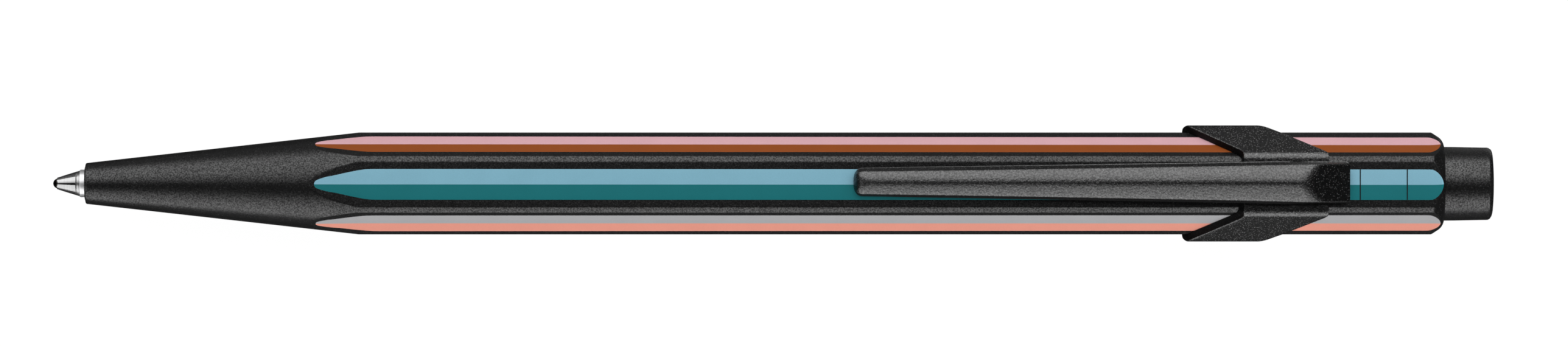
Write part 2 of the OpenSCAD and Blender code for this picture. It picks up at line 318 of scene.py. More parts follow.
def metal(name, colour, rough, stretch, height, scale=3000.0, tint=0.12, metallic=1.0):
    """Worked metal: fine tool marks drawn out by stretch, with a slight change of tone along them."""
    n = Nodes(name)
    marks = n.noise(scale, 3.0, 0.6, stretch=stretch)
    broad = n.noise(500.0, 2.0, 0.5)
    low = tuple(c * (1 - tint) for c in colour)
    n.link(n.ramp(n.maths("ADD", n.maths("MULTIPLY", marks, 0.7), n.maths("MULTIPLY", broad, 0.3)),
                  [(0.3, low), (0.7, colour)]), n.bsdf.inputs["Base Color"])
    n.bsdf.inputs["Metallic"].default_value = metallic
    n.link(n.maths("ADD", n.maths("MULTIPLY", marks, 0.16), rough - 0.08), n.bsdf.inputs["Roughness"])
    n.link(n.bump(marks, height), n.bsdf.inputs["Normal"])
    return n.mat


def plastic(name, colour, rough=0.38, subsurface=0.0):
    """Moulded plastic: a faint mould texture, with slow variation in tone."""
    n = Nodes(name)
    fine = n.noise(7000.0, 2.0, 0.5)
    broad = n.noise(300.0, 2.0, 0.5)
    low = tuple(c * 0.93 for c in colour)
    n.link(n.ramp(broad, [(0.35, low), (0.65, colour)]), n.bsdf.inputs["Base Color"])
    n.link(n.maths("ADD", n.maths("MULTIPLY", fine, 0.14), rough - 0.07), n.bsdf.inputs["Roughness"])
    n.link(n.bump(fine, 1.0e-6), n.bsdf.inputs["Normal"])
    n.bsdf.inputs["Subsurface Weight"].default_value = subsurface
    n.bsdf.inputs["Subsurface Scale"].default_value = 0.0004
    return n.mat


BLACK = paint("barrel_black", (0.0080, 0.0080, 0.0082), 0.21, 1.65, 0.00009, 1.3e-5, (0.22, 1.0), 0.00012,
              (0.040, 0.040, 0.040), 0.00020, 0.17)
CLIP = paint("clip_black", (0.0010, 0.0010, 0.0011), 0.260, 2.01, 0.00018, 4.0e-5, (0.55, 1.0), 0.00015,
             (0.075, 0.075, 0.075), 0.00019, 0.21, 40.0)
# a lighter copy of the clip paint, with paler and larger flecks: brighter painted glints on the collar's wings
COLLAR = paint("collar_black", (0.0020, 0.0020, 0.0022), 0.235, 2.01, 0.00018, 4.0e-5, (0.55, 1.0), 0.00015,
               (0.155, 0.155, 0.155), 0.00017, 0.25, 40.0)
# a darker copy of the collar paint with dim flecks, for the band's flat top under the arm: painted shade of the arm
BAND_PAINTED_SHADE = paint("band_black_painted_shade", (0.0012, 0.0012, 0.0013), 0.22, 1.95, 0.00018, 3.0e-5, (0.45, 1.0), 0.00015,
             (0.030, 0.030, 0.030), 0.00019, 0.22, 40.0)
BUTTON = paint("button_black", (0.0085, 0.0085, 0.0087), 0.19, 1.75, 0.00013, 1.8e-5, (0.22, 1.0), 0.00013,
               (0.045, 0.045, 0.045), 0.00020, 0.17, 80.0)
# dull black of the clip's cut edges; where the collar's front edge leans forward it also paints the shade on the flats
# before that edge
SHEAR = paint("clip_cut_edge", (0.0014, 0.0014, 0.0015), 0.50, 1.32, 0.00010, 0.8e-5, (0.6, 1.0), 0.00012,
              (0.020, 0.020, 0.020), 0.00025, 0.17, 60.0)
INK_LINE = paint("hairline_black", (0.0025, 0.0025, 0.0025), 0.45, 1.35, 0.00010, 1.0e-6, (0.8, 1.0), 0.00010,
                 (0.004, 0.004, 0.004), 0.00020, 0.15)

PRINTS = {
    "light_blue": printed("print_light_blue", (0.234, 0.484, 0.607)),
    "teal": printed("print_teal", (0.0050, 0.161, 0.178)),
    "pink": printed("print_pink", (0.758, 0.443, 0.485)),
    "brown": printed("print_brown", (0.302, 0.0730, 0.0120)),
    "grey": printed("print_grey", (0.485, 0.485, 0.498)),
    "salmon": printed("print_salmon", (0.975, 0.388, 0.293)),
    "mustard": printed("print_mustard", srgb(204, 164, 73)),
    "olive": printed("print_olive", srgb(92, 98, 52)),
    "lilac": printed("print_lilac", srgb(168, 150, 190)),
    "navy": printed("print_navy", srgb(38, 52, 92)),
    "cream": printed("print_cream", srgb(228, 214, 182)),
    "burgundy": printed("print_burgundy", srgb(118, 38, 48)),
}

BRASS = metal("turned_brass", (0.72, 0.52, 0.22), 0.26, (1.0, 0.06, 0.06), 1.6e-6, 5000.0)
STEEL = metal("drawn_steel", (0.58, 0.58, 0.59), 0.26, (0.05, 1.0, 1.0), 1.2e-6, 4000.0)
SPRING = metal("spring_wire", (0.62, 0.62, 0.64), 0.22, (0.4, 1.0, 1.0), 1.0e-6, 5000.0)
NICKEL = metal("tip_nickel", (0.42, 0.42, 0.42), 0.09, (1.0, 0.04, 0.04), 1.6e-6, 9000.0, 0.22)
NECK = metal("neck_nickel", (0.80, 0.80, 0.81), 0.34, (1.0, 0.05, 0.05), 1.2e-6, 8000.0, 0.14, 0.7)
BAND_NICKEL = metal("tip_band_nickel", (0.46, 0.46, 0.46), 0.27, (1.0, 0.05, 0.05), 1.2e-6, 8000.0, 0.16)
REFILL = metal("refill_metal", (0.60, 0.61, 0.63), 0.30, (0.06, 1.0, 1.0), 1.2e-6, 3500.0)
CARBIDE = metal("ball_carbide", (0.017, 0.015, 0.012), 0.16, (1.0, 1.0, 1.0), 0.6e-6, 6000.0)
ACETAL = plastic("cam_plastic", (0.72, 0.72, 0.69), 0.34, 0.15)
PLUG = plastic("plug_plastic", (0.05, 0.06, 0.22), 0.36)
INK = plastic("ink", (0.006, 0.009, 0.055), 0.12)

# ---------------------------------------------------------------- barrel
BEVEL = [(117.82, 4.468), (117.92, 4.430), (118.05, 4.350), (118.20, 4.250), (118.34, 4.160), (118.48, 4.070),
         (118.58, 3.990), (118.68, 3.890), (118.77, 3.770), (118.84, 3.650), (118.88, 3.560), (118.90, 3.480)]


def outer_r(x):
    cone = NOSE_R + TAPER * x
    if x < 0.12:
        return table(x, [(0.0, 1.700), (0.012, 1.735), (0.035, 1.765), (0.07, 1.785), (0.12, NOSE_R + TAPER * 0.12)])
    if x > BEVEL[0][0]:
        return table(x, BEVEL)
    return smin(cone, COR, 0.012)


def crease(r):
    """Angle from a flat's middle to the crease between the flat and the turned surface."""
    return max(1.5, math.degrees(math.acos(min(1.0, APO / r)))) if r > APO else 1.5


def barrel_angles(phi):
    half = [f * (phi - 1.3) for f in (0.0, 0.2, 0.4, 0.6, 0.8, 1.0)]
    half += [phi - 0.9, phi - 0.45, phi, phi + 0.45, phi + 0.9, phi + 1.3]
    half += [phi + 1.3 + (28.7 - phi) * f for f in (1 / 6, 2 / 6, 3 / 6, 4 / 6, 5 / 6)]
    sector = [-a for a in half[1:]][::-1] + half + [30.0]
    return [60.0 * s + a for s in range(6) for a in sector]


def barrel_ring(x, r, flatten=True):
    ring = []
    for deg in barrel_angles(crease(r) if flatten else 15.0):
        rel = (deg + 30.0) % 60.0 - 30.0
        rr = smin(r, APO / math.cos(math.radians(rel)), 0.030) if flatten else r
        ring.append(around(x, rr, deg))
    return ring


stations = [0.0, 0.012, 0.035, 0.07, 0.12, 0.3, 0.6] + spans(1.0, 19.0, 18)
for phi in spans(1.5, 26.06, 30):
    r = APO / math.cos(math.radians(phi))
    stations.append((min(r, COR) - NOSE_R) / TAPER)
stations = [x for x in stations if x < 23.6] + [23.66, 23.74, 23.80, 23.86, 23.95, 24.1, 24.4, 25.0]
stations += spans(28.0, 117.0, 30) + [117.6, 117.75]
for (x0, r0), (x1, r1) in zip(BEVEL, BEVEL[1:]):
    stations += [x0, mix(x0, x1, 0.5)]
stations.append(BEVEL[-1][0])
stations = sorted(set(round(x, 5) for x in stations))

rings = [barrel_ring(x, outer_r(x)) for x in stations]
bore = [(BARREL_LEN, 3.42), (BARREL_LEN, 3.335), (BARREL_LEN - 0.04, 3.30), (112.0, 3.30), (106.12, 3.30),
        (106.10, 3.28), (106.10, 3.06), (105.6, 3.06)]
tx = 105.4
while tx > 100.5:
    bore += [(tx, 3.06), (tx - 0.25, 3.20)]
    tx -= 0.5
bore += [(100.4, 3.06), (100.0, 3.06), (99.95, 2.95), (60.0, 2.95), (16.5, 2.95), (15.5, 2.15), (8.02, 2.15),
         (8.0, 2.13), (8.0, 1.27), (4.0, 1.27), (0.06, 1.27), (-0.055, 1.31), (-0.075, 1.38), (-0.06, 1.45), (0.0, 1.56)]
rings += [barrel_ring(x, r, False) for x, r in bore]
verts, faces = loft(rings, closed_ends=True)
barrel = build("barrel_shell", verts, faces, [BLACK], "barrel", ["barrel"], sharp=30.0)

# ---------------------------------------------------------------- printed panels
OUTLINE = [(20.20, 0.0), (20.215, 0.14), (20.29, 0.287), (20.40, 0.385), (20.58, 0.488), (20.94, 0.653), (21.79, 0.833),
           (22.40, 0.976), (23.01, 1.098), (23.62, 1.220), (24.23, 1.305), (24.76, 1.325), (25.3, 1.328)]
REAR = [(117.45, 1.328), (117.73, 1.31), (117.95, 1.21), (118.16, 1.05), (118.37, 0.84), (118.50, 0.65), (118.58, 0.50),
        (118.66, 0.28), (118.71, 0.0)]


def panel_half(x):
    return table(x, OUTLINE + REAR)


def skin(x, t):
    """Height of the barrel's surface over a flat: the flat, or the turned bevel behind it."""
    return min(APO, math.sqrt(max(0.0, outer_r(x) ** 2 - t * t)))


def across(c, w, x, reg):
    """Place on the flat of the share c of half width w. reg nudges the +, middle and - lines, at the front and the rear."""
    u = clamp((x - 30.0) / 86.0)
    plus, mid, minus = [mix(a, b, u) for a, b in reg]
    return c * w + (mix(mid, plus, c) if c >= 0 else mix(mid, minus, -c)) * w / 1.328


def panel(name, deg, plus, minus, pull=0.0, nose=(0.0, 0.0), flare=(0.0, 0.0), reg=((0.0, 0.0), (0.0, 0.0), (0.0, 0.0))):
    """A printed panel with two tones, split along the middle of its flat. pull brings its rear end forward."""
    xs = sorted(set([x for x, _ in OUTLINE] + spans(21.0, 24.6, 12) + spans(30, 115, 17) + [x for x, _ in REAR] + [117.6, 117.84, 118.05, 118.27, 118.44, 118.54, 118.62]))
    xs = [x for x in xs if 0.002 < panel_half(x)]
    cols = [-1.0, -0.985, -0.66, -0.33, 0.0, 0.33, 0.66, 0.985, 1.0]
    verts, faces, tone = [], [], []
    rows = [(20.20, 0.02)] + [(x, panel_half(x)) for x in xs] + [(118.71, 0.04)]
    rows = [(x - pull * clamp((x - 115.0) / 2.0) + nose[0] * clamp((24.0 - x) / 3.8), w) for x, w in rows]
    n = len(cols)

    def place(x, w, c):
        """Place of a point: flare draws out the front end's two edges, each by its own length."""
        t = across(c, w, x, reg) + nose[1] * clamp((24.0 - x) / 3.8)
        return x + flare[0 if c > 0 else 1] * abs(c) * clamp((x - 20.25) / 0.9) * clamp((29.0 - x) / 2.0), t

    for x, w in rows:
        for i, c in enumerate(cols):
            edge = 0.0 if 0 < i < n - 1 else 0.004
            xx, t = place(x, w, c)
            verts.append(on_flat(xx, t, skin(xx, t) + 0.010 - edge, deg))
    base = len(verts)
    for x, w in rows:
        for c in cols:
            xx, t = place(x, w, c)
            verts.append(on_flat(xx, t, skin(xx, t) - 0.03, deg))
    for i in range(len(rows) - 1):
        for j in range(n - 1):
            a = i * n + j
            faces.append((a, a + n, a + n + 1, a + 1))
            tone.append(0 if cols[j] >= 0 else 1)
            b = base + a
            faces.append((b, b + 1, b + n + 1, b + n))
            tone.append(0 if cols[j] >= 0 else 1)
        for j in (0, n - 1):
            a = i * n + j
            faces.append((a, base + a, base + a + n, a + n))
            tone.append(0 if j else 1)
    for i in (0, len(rows) - 1):
        for j in range(n - 1):
            a = i * n + j
            faces.append((a, a + 1, base + a + 1, base + a))
            tone.append(0 if cols[j] >= 0 else 1)
    return build(name, verts, faces, [PRINTS[plus], PRINTS[minus]], "barrel", face_mats=tone, sharp=20.0)


panel("panel_front", 0, "light_blue", "teal", flare=(0.42, 0.76), reg=((0.008, -0.036), (-0.010, -0.050), (-0.020, -0.040)))
panel("panel_side_plus", 60, "pink", "brown", 0.15, flare=(0.36, 0.62), reg=((0.0, -0.18), (-0.015, -0.153), (0.036, -0.066)))
panel("panel_side_minus", -60, "grey", "salmon", 0.15, nose=(0.03, -0.06), flare=(0.46, 0.95), reg=((0.12, 0.173), (0.042, 0.020), (-0.074, 0.023)))
panel("panel_under_plus", 120, "mustard", "olive", 0.15)
panel("panel_back", 180, "lilac", "navy", 0.10)
panel("panel_under_minus", -120, "cream", "burgundy", 0.15)


def hairline(name, x, deg=0.0, width=0.10):
    """A thin printed line across a panel."""
    w = panel_half(x) - 0.004
    ts = spans(-w - 0.036, w - 0.033, 12)
    verts = []
    for t in ts:
        for dx, h in ((-width / 2, APO - 0.01), (-width / 2, APO + 0.0135), (-width / 2 + 0.008, APO + 0.015),
                      (width / 2 - 0.008, APO + 0.015), (width / 2, APO + 0.0135), (width / 2, APO - 0.01)):
            verts.append(on_flat(x + dx, t, h, deg))
    rings = [verts[i * 6:(i + 1) * 6] for i in range(len(ts))]
    v, f = loft(rings)
    return build(name, v, f, [INK_LINE], "barrel", sharp=40.0)


hairline("label_line_front", 111.41)
hairline("label_line_rear", 115.51)

# ---------------------------------------------------------------- clip collar
T = 0.50                      # sheet thickness
OUT_A = APO + 0.10 + T        # outer apothem


def collar_path():
    """Stations along the collar's section, from the front face's middle round to the claw:
    (s, outer point, inner point) with s the length run on the outer side."""
    f1, f2 = 0.75, 1.40       # outer fillets at the front corners and at the side corners
    a, tan30 = OUT_A, math.tan(math.radians(30))
    c0 = (a - f1) * tan30     # the flat's half length beside a front corner
    out = []

    def put(s, y, z, ny, nz):
        out.append((s, (y, z), (y - T * ny, z - T * nz)))

    def face_point(deg, t):
        # t across the face, positive away from the front
        r = math.radians(deg)
        return (a * math.sin(r) + t * math.cos(r), a * math.cos(r) - t * math.sin(r), math.sin(r), math.cos(r))

    def corner(deg, f):
        # fillet at the corner between faces deg-30 and deg+30
        r = math.radians(deg)
        d = (a - f) / math.cos(math.radians(30))
        return (d * math.sin(r), d * math.cos(r))

    s = 0.0
    for t in spans(0.0, c0, 6):
        put(s + t, *face_point(0, t))
    s += c0
    cy, cz = corner(30, f1)
    for d in spans(0, 60, 14)[1:]:
        n = (math.sin(math.radians(d)), math.cos(math.radians(d)))
        put(s + f1 * math.radians(d), cy + f1 * n[0], cz + f1 * n[1], *n)
    s += f1 * math.radians(60)
    c2 = (a - f2) * tan30
    ts = spans(-c0, c2, 26)
    for t in ts[1:]:
        put(s + t + c0, *face_point(60, t))
    s += c0 + c2
    cy, cz = corner(90, f2)
    for d in spans(60, 120, 8)[1:]:
        n = (math.sin(math.radians(d)), math.cos(math.radians(d)))
        put(s + f2 * math.radians(d - 60), cy + f2 * n[0], cz + f2 * n[1], *n)
    s += f2 * math.radians(60)
    for t in spans(-c2, 1.80, 30)[1:]:
        put(s + t + c2, *face_point(120, t))
    return out


# edges of the sheet, as (distance along the section, X)
FRONT_EDGE = [(0.0, 101.20), (2.80, 101.20), (2.95, 101.18), (3.10, 101.10), (3.25, 101.01), (3.42, 100.87), (7.00, 96.94),
              (7.21, 96.72), (7.45, 96.54), (7.81, 96.42), (8.11, 96.33), (8.40, 96.21), (8.65, 96.12), (9.10, 96.09),
              (9.8, 96.16), (10.4, 96.40), (11.0, 96.86), (11.5, 97.45), (11.85, 98.05), (12.05, 98.5), (12.192, 99.05)]
REAR_EDGE = [(0.0, 108.64), (2.55, 108.64), (2.75, 108.62), (2.90, 108.56), (3.05, 108.44), (3.22, 108.27), (6.14, 104.82),
             (7.00, 103.70), (7.47, 103.08), (7.65, 102.86), (7.85, 102.68), (8.3, 102.42), (9.3, 101.80), (10.5, 101.30),
             (11.4, 100.85), (11.95, 100.30), (12.192, 99.70)]


def collar_sheet():
    path = collar_path()
    half = list(path)
    full = [(s, (-o[0], o[1]), (-i[0], i[1])) for s, o, i in half[1:]][::-1] + half
    rings = []
    # the cut edge's black comes down over the gap under the sheet, painting the shade in that gap
    reach = T + 0.08          # the cut front edge comes down almost to the flats
    for s, (yo, zo), (yi, zi) in full:
        xf, xr = table(s, FRONT_EDGE), table(s, REAR_EDGE)
        b = min(0.15, 0.25 * (xr - xf))
        # the black cut edge leans forward on its way down, most on the -Y side, and little at the wings' outer corners:
        # a dark sheet laid over the flats before the edge, painted shade
        shade_lean = table(yo, [(-1.5, 0.38), (1.5, 0.14)]) * table(s, [(6.7, 1.0), (7.5, 0.15)])

        def at(x, depth):
            k = depth / T
            return P(x, mix(yo, yi, k), mix(zo, zi, k))

        c = 0.5 * b
        ring = [at(xf - 0.5 * shade_lean, 0.66 * T), at(xf, 0.085), at(xf + 0.12 * b, 0.048), at(xf + 0.55 * b, 0.010), at(xf + b, 0.0)]
        inner_x = spans(xf + b, xr - c, 18)[1:-1]
        ring += [at(x, 0.0) for x in inner_x]
        ring += [at(xr - c, 0.0), at(xr - 0.22 * c, 0.022), at(xr, 0.075), at(xr, 0.62 * T), at(xr - 0.04, T)]
        ring += [at(x, T) for x in inner_x[::-1]]
        ring += [at(xf + 0.9 * b, reach), at(xf - shade_lean + 0.04, reach), at(xf - shade_lean, reach - 0.03)]
        rings.append(ring)
    v, f = loft(rings)
    n = len(rings[0])
    # the cut front face: between the ring's last points and its first two
    reach_s = [max(full[i][0], full[i + 1][0]) for i in range(len(full) - 1)]
    # material 1 is the cut edge's black; material 2 is the darker copy on the band's flat top, the painted shade under
    # the arm
    wall = [1 if (k % n) in (0, n - 1, n - 2) else 2 if reach_s[k // n] < 2.3 else 0 for k in range(len(f) - 2)] + [0, 0]
    return build("collar_sheet", v, f, [COLLAR, SHEAR, BAND_PAINTED_SHADE], "barrel", ["clip_collar"], sharp=38.0, face_mats=wall)


collar_sheet()


def tongue():
    """The tongue behind the band, turned up into the bend that carries the arm."""
    line = [(108.2, 4.35), (109.0, 4.35), (109.70, 4.35), (109.95, 4.38), (110.13, 4.46), (110.23, 4.57), (110.25, 4.72)]
    hw, ht = 1.55, 0.24
    rings = []
    for i, (x, z) in enumerate(line):
        x0, z0 = line[max(i - 1, 0)]
        x1, z1 = line[min(i + 1, len(line) - 1)]
        d = math.hypot(x1 - x0, z1 - z0)
        nx, nz = -(z1 - z0) / d, (x1 - x0) / d
        ring = []
        for y, h in ((-hw, -0.6), (-hw, 0.6), (-hw + 0.05, 1), (-0.8, 1), (0, 1), (0.8, 1), (hw - 0.05, 1), (hw, 0.6), (hw, -0.6),
                     (hw - 0.05, -1), (0.8, -1), (0, -1), (-0.8, -1), (-hw + 0.05, -1)):
            ring.append(P(x + nx * h * ht, y, z + nz * h * ht))
        rings.append(ring)
    v, f = loft(rings)
    return build("collar_tongue", v, f, [COLLAR], "barrel", sharp=40.0)


tongue()

# ---------------------------------------------------------------- clip arm
SHIFT = 0.20
TIP_X, TOP_X, END_X = 67.38, 106.55, 110.46
TIP_FRONT = 67.23
TIP_TOP, TOP_Z = APO + 1.03, APO + 3.50
HALF = [(67.4, 1.235), (69.8, 1.27), (73.2, 1.335), (81.1, 1.46), (89.1, 1.60), (97.0, 1.725), (103.9, 1.855), (105.6, 1.85),
        (107.0, 1.825), (110.0, 1.815), (110.2, 1.79), (110.36, 1.72), (110.46, 1.60)]


def ridge(x):
    return TIP_TOP + (TOP_Z - TIP_TOP) * (x - TIP_X - 0.7) / (TOP_X - TIP_X - 0.7)


def slope_z(x):
    return TOP_Z - (x - TOP_X) * (TOP_Z - 5.22) / (110.15 - TOP_X)


def under(x):
    """Lowest line of the arm's side walls."""
    return table(x, [(67.3, 4.03), (69.4, 4.03), (70.1, 4.07), (71.0, ridge(71) - 0.97), (80, ridge(80) - 1.06), (104.4, ridge(104.4) - 1.37),
                     (105.2, ridge(105.2) - 1.50), (106.2, 5.10), (106.8, 4.82), (107.4, 4.72), (109.75, 4.72), (110.0, 4.82), (110.5, 4.86)])


# half width of the crowned top, out to the edge where the side wall starts
CROWN = [(67.4, 1.00), (70.9, 1.045), (78.9, 1.15), (89.5, 1.33), (98.1, 1.48), (104.5, 1.61), (106.4, 1.66), (110.5, 1.66)]
# the crown's section on each side of the ridge: arc radius and the angles it runs through; None fills the width
PLUS_ARCS = [(0.9, (2.75, 5.5)), (1.6, (8, 11, 15)), (None, (19, 23, 27, 31, 34, 36))]
MINUS_ARCS = [(0.9, (5, 10, 15)), (1.9, (18.5, 22.3)), (None, (22.8, 23.3, 24, 25, 26.5, 29))]
RIDGE_OFF = 0.05


def hollow(x, y):
    """How far the arm's top falls away in the middle of its front end."""
    u = clamp((TIP_FRONT + 1.5 - x) / 1.5)
    t = min(1.0, abs(y) / (0.25 + 0.72 * u))
    return 0.27 * u * u * (1 - t * t) ** 2


def arm_ring(x, plan=1.0, drop=0.0):
    w, crown = table(x, HALF), table(x, CROWN)
    zb = under(x)
    zr = ridge(min(x, TOP_X + 3)) - drop
    plane = slope_z(x) if x > TOP_X - 3 else 99.0
    th = 0.38
    solid = x < 69.25
    s = lambda d: math.sin(math.radians(d))
    c = lambda d: math.cos(math.radians(d))
    outer, inner = {}, {}
    for sign in (1, -1):
        off = RIDGE_OFF * sign
        arcs, rt = (PLUS_ARCS, 0.19) if sign > 0 else (MINUS_ARCS, 0.16)
        a2 = arcs[-1][1][-1]
        a0 = mix(a2, 8.0, clamp((zr - 0.9 - plane) / 0.5))
        reach = min(crown - 0.03, w - 0.10) if sign > 0 else min(crown + 0.06, w - 0.05)
        edge = reach - off - rt * (s(82) - s(a0))
        y, z, a = 0.0, zr, 0.0
        side = [(y, z, a)]
        for r, angles in arcs:
            if r is None:
                r = (edge - y) / (s(a2) - s(a))
            for nxt in angles:
                y += r * (s(nxt) - s(a))
                z -= r * (c(a) - c(nxt))
                a = nxt
                side.append((y, z, a))
        if plane < 90:
            soft = []
            for y, z, a in side:
                zz = smin(z, plane, 0.55)
                soft.append((y, zz, a * (1 - clamp((z - zz) / 0.30))))
            side = soft
        yc, zc, _ = side[-1]
        for a in spans(a0, 82.0, 4)[1:]:
            side.append((yc + rt * (s(a) - s(a0)), zc - rt * (c(a0) - c(a)), a))
        side = [(y + off, z, a) for y, z, a in side]
        yw, zw, _ = side[-1]
        if sign > 0:
            bw = 0.085 * table(x, [(67.4, 0.30), (79.0, 0.55), (88.0, 0.92), (94.0, 1.0)])
            zl, yb = zb + 0.02 + bw, w - bw
            side[-1] = (yw, max(zl + 0.005, zw), 82)
            for k in (0.33, 0.66, 1.0):
                side.append((mix(yw, yb, k), mix(side[-1][1] if k > 1 else max(zl + 0.005, zw), zl, k), 84))
            tail = [(yb + 0.12 * bw, zb + 0.02 + 0.80 * bw, 60), (yb + 0.33 * bw, zb + 0.02 + 0.66 * bw, 35),
                    (yb + 0.64 * bw, zb + 0.02 + 0.54 * bw, 30), (w - 0.14 * bw, zb + 0.02 + 0.31 * bw, 60),
                    (w, zb + 0.020, 90), (w - 0.012, zb, 120)]
        else:
            zl, yb = zb + 0.06, w - 0.02
            side[-1] = (yw, max(zl + 0.005, zw), 82)
            for k in (0.33, 0.66, 1.0):
                side.append((mix(yw, yb, k), mix(max(zl + 0.005, zw), zl, k), 78))
            tail = [(yb + 0.008, zb + 0.045, 75), (w, zb + 0.020, 90), (w - 0.012, zb, 120)]
        y_in = max(0.15, min(w - 0.46, side[-1][0] - 0.30))
        inside = []
        for y, z, a in side:
            yi = min(max(0.0, y - th * s(a)), y_in)
            zi = max(zb, z - th * c(a))
            inside.append((yi, zb if solid else zi))
        inside.append((y_in, zb))
        outer[sign] = [(y * sign, max(z - hollow(x, y), zb)) for y, z, a in side + tail]
        inner[sign] = [(y * sign, z) for y, z in inside]
    pts = outer[-1][1:][::-1] + outer[1]
    back = inner[1][::-1] + inner[-1][1:]
    return [P(x, SHIFT + y * plan, z) for y, z in pts] + [P(x, SHIFT + y * plan, z) for y, z in back]


def clip_arm():
    rings = []
    p = 2.5
    for q in (0.999, 0.985, 0.95, 0.90, 0.83, 0.74, 0.64, 0.52, 0.40, 0.28, 0.16, 0.06):
        x = TIP_FRONT + 0.84 * (1 - q)
        plan = (1 - q ** p) ** (1 / p)
        u = clamp((TIP_FRONT + 0.78 - x) / 0.78)
        rings.append(arm_ring(x, plan, 0.66 * (1 - math.sqrt(max(0.0, 1 - u * u)))))
    for x in (68.09, 68.16, 68.25, 68.35, 68.46, 68.58, 68.73, 68.9, 69.2):
        u = clamp((TIP_FRONT + 0.78 - x) / 0.78)
        rings.append(arm_ring(x, 1.0, 0.66 * (1 - math.sqrt(max(0.0, 1 - u * u)))))
    xs = [69.3, 69.6, 70.0, 70.4, 71.0] + spans(72, 103, 31) + [103.5, 104.0, 104.5, 104.9, 105.2, 105.5] + spans(105.7, 110.1, 30)
    xs += [110.2, 110.28, 110.36, 110.42, 110.46]
    rings += [arm_ring(x) for x in xs]
    v, f = loft(rings)
    n = len(rings[0])
    # the -Y side wall, turned down past the crown's corner, is in the cut edge's flatter black
    wall = [1 if k % n < 6 else 0 for k in range(len(f) - 2)] + [0, 0]
    return build("clip_arm_shell", v, f, [CLIP, SHEAR], "clip", ["clip_arm"], sharp=40.0, face_mats=wall)


clip_arm()

# ---------------------------------------------------------------- button
R_B, B_END = 3.232, 123.26
button_profile = [(112.0, 2.65), (112.0, 3.13), (112.12, R_B), (116.0, R_B), (118.9, R_B), (119.9, 3.226), (120.9, 3.205), (121.75, 3.190),
                  (122.3, 3.180)]
button_profile += arc(122.68, 2.698, 0.48, 88, 2, 12)
button_profile += [(123.175, 2.4), (123.20, 1.9), (123.225, 1.4), (B_END - 0.01, 0.8), (B_END, 0.0),
                   (122.05, 0.0), (122.05, 1.50), (119.90, 1.50), (119.90, 2.00), (121.30, 2.00), (121.30, 2.65)]
cup = lathe("button_cup", button_profile, [BUTTON], "button", ["push_button"], segs=144, sharp=35.0)
for v in cup.data.vertices:       # its skirt sits a hair low in the bore's play
    if math.hypot(v.co.y, v.co.z - 0.004) > 0.00300:
        v.co.y -= 0.00003

# ---------------------------------------------------------------- writing tip
BX = -2.86 + 0.44
ball = [(BX + 0.44 * math.cos(math.radians(a)), 0.44 * math.sin(math.radians(a))) for a in spans(180, 0, 24)]
ball[0], ball[-1] = (BX - 0.44, 0.0), (BX + 0.44, 0.0)
lathe("writing_ball", ball, [CARBIDE], "refill", ["tip_ball"], segs=64, sharp=60.0)

tip = [(BX + 0.02, 0.455), (BX - 0.07, 0.452), (BX - 0.105, 0.470), (BX - 0.09, 0.500), (BX - 0.02, 0.530), (BX + 0.06, 0.553),
       (-1.80, 0.737), (-1.2, 0.920), (-0.86, 1.024), (-0.845, 1.020), (-0.83, 1.034), (-0.70, 1.074), (-0.56, 1.116), (-0.53, 1.110),
       (-0.53, 0.74), (2.6, 0.74), (2.6, 0.22), (0.0, 0.22), (-1.6, 0.22), (BX + 0.40, 0.30), (BX + 0.28, 0.40)]
socket = lathe("tip_socket", tip, [NICKEL, BAND_NICKEL], "refill", ["tip_cone"], segs=128, sharp=28.0)
for k in range(len(socket.data.polygons)):
    if 8 <= k // 128 <= 12:       # the band behind the fine groove
        socket.data.polygons[k].material_index = 1

neck = [(-0.52, 0.76), (-0.52, 1.10), (-0.515, 1.16), (-0.49, 1.195), (-0.44, 1.21), (0.0, 1.21), (8.0, 1.21), (16.99, 1.21),
        (19.4, 1.21), (19.4, 0.76), (8.0, 0.76)]
lathe("neck_tube", neck, [NECK], "refill", ["refill_neck"], segs=128, sharp=30.0)

# ---------------------------------------------------------------- return spring
def spring():
    coils, wire, mean = 9, 0.20, 1.75
    a0, a1 = 8.03 + wire, 16.97 - wire
    closed = 1.0
    span = a1 - a0 - 2 * closed * 2.1 * wire
    per, sides = 32, 12

    def place(s):
        if s < closed:
            return a0 + s * 2.1 * wire
        if s > coils - closed:
            return a1 - (coils - s) * 2.1 * wire
        return a0 + closed * 2.1 * wire + span * (s - closed) / (coils - 2 * closed)

    rings = []
    for i in range(coils * per + 1):
        s = i / per
        a = 2 * math.pi * s
        x = place(s)
        ring = []
        for k in range(sides):
            w = 2 * math.pi * k / sides
            r = mean + wire * math.cos(w)
            ring.append(P(x + wire * math.sin(w), r * math.sin(a), r * math.cos(a)))
        rings.append(ring)
    v, f = loft(rings)
    obj = build("spring_coil", v, f, [SPRING], None, ["return_spring"], sharp=50.0)
    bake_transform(obj)
    return obj


spring()

# ---------------------------------------------------------------- finishes of the CAD pieces that stay
for name, mat in {
    "threaded_collar": BRASS, "cam_sleeve": STEEL, "sleeve_snap_ring": SPRING, "button_plunger": ACETAL,
    "cam_rotor": ACETAL, "refill_tube": REFILL, "ink_column": INK, "refill_end_plug": PLUG,
}.items():
    o = nodes[name]
    o.data.materials.clear()
    o.data.materials.append(mat)
    for poly in o.data.polygons:
        poly.material_index = 0

